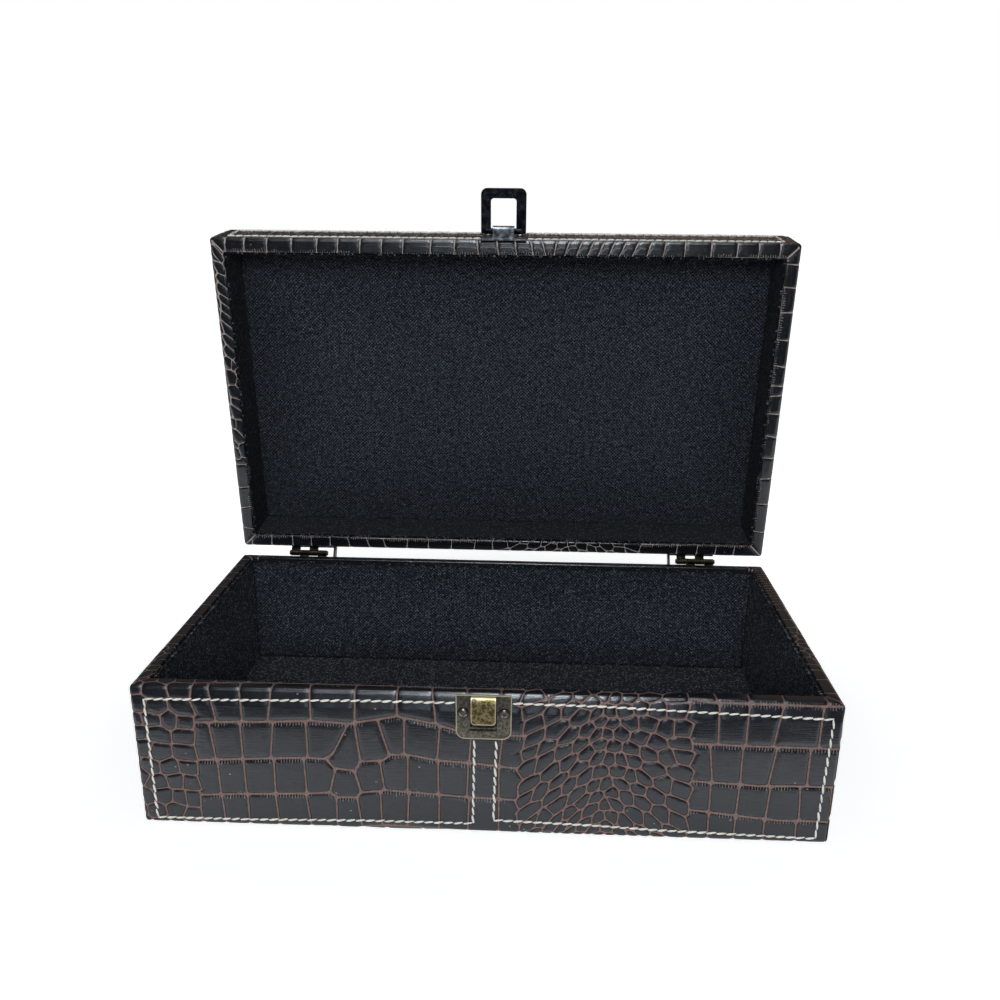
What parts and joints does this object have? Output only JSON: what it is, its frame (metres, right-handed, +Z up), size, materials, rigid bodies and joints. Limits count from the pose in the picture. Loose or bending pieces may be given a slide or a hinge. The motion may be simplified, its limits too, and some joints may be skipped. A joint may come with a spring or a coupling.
{
  "type": "storage box",
  "caption": "Shallow rectangular storage box in crocodile-grain leatherette, with a hinged lid, a black woven lining and a drop-loop latch.",
  "frame": {"origin": "centre of the underside's flat face, where the box rests", "axes": "+Z up; +X along the box's length, to the right seen from the latch side; -Y is the latch side, +Y the hinge side"},
  "size_m": [0.315, 0.2238, 0.2814],
  "materials": {
    "fibreboard": "raw medium-density fibreboard, hidden",
    "leatherette": "glossy near-black embossed crocodile scales with brown grooves",
    "woven_lining": "black coarse woven cloth",
    "felt": "black felt",
    "antique_brass": "dark antique brass, worn bright on the edges",
    "hinge_brass": "dark antique brass",
    "screw_bronze": "grey antique plating",
    "dark_bronze": "near-black bronze plating",
    "stitch_thread": "cream sewing thread"
  },
  "bodies": {
    "base": {"base_front_board": "fibreboard", "base_rear_board": "fibreboard", "base_left_board": "fibreboard", "base_right_board": "fibreboard", "base_bottom_board": "fibreboard", "base_cover": "leatherette", "base_underside_felt": "felt", "base_lining_floor": "woven_lining", "base_lining_front": "woven_lining", "base_lining_rear": "woven_lining", "base_lining_left": "woven_lining", "base_lining_right": "woven_lining", "catch_plate": "antique_brass", "catch_screws": "screw_bronze", "hinge_base_leaf_left": "hinge_brass", "hinge_base_leaf_right": "hinge_brass", "hinge_base_screws": "screw_bronze", "hinge_pin_left": "hinge_brass", "hinge_pin_right": "hinge_brass"},
    "lid": {"lid_front_board": "fibreboard", "lid_rear_board": "fibreboard", "lid_left_board": "fibreboard", "lid_right_board": "fibreboard", "lid_top_board": "fibreboard", "lid_cover": "leatherette", "lid_lining_top": "woven_lining", "lid_lining_front": "woven_lining", "lid_lining_rear": "woven_lining", "lid_lining_left": "woven_lining", "lid_lining_right": "woven_lining", "hasp_plate": "antique_brass", "hasp_screws": "screw_bronze", "hinge_lid_leaf_left": "hinge_brass", "hinge_lid_leaf_right": "hinge_brass", "hinge_lid_screws": "screw_bronze"},
    "loop": {"latch_loop": "dark_bronze"}
  },
  "joints": [
    {"name": "lid_hinge", "type": "hinge", "parent": "base", "child": "lid", "pos_m": [0, 0.0938, 0.072], "axis": [1, 0, 0], "range_deg": [0, 84]},
    {"name": "latch_swing", "type": "hinge", "parent": "lid", "child": "loop", "pos_m": [0.0005, 0.07735, 0.26011], "axis": [1, 0, 0], "range_deg": [-90, 90]}
  ]
}
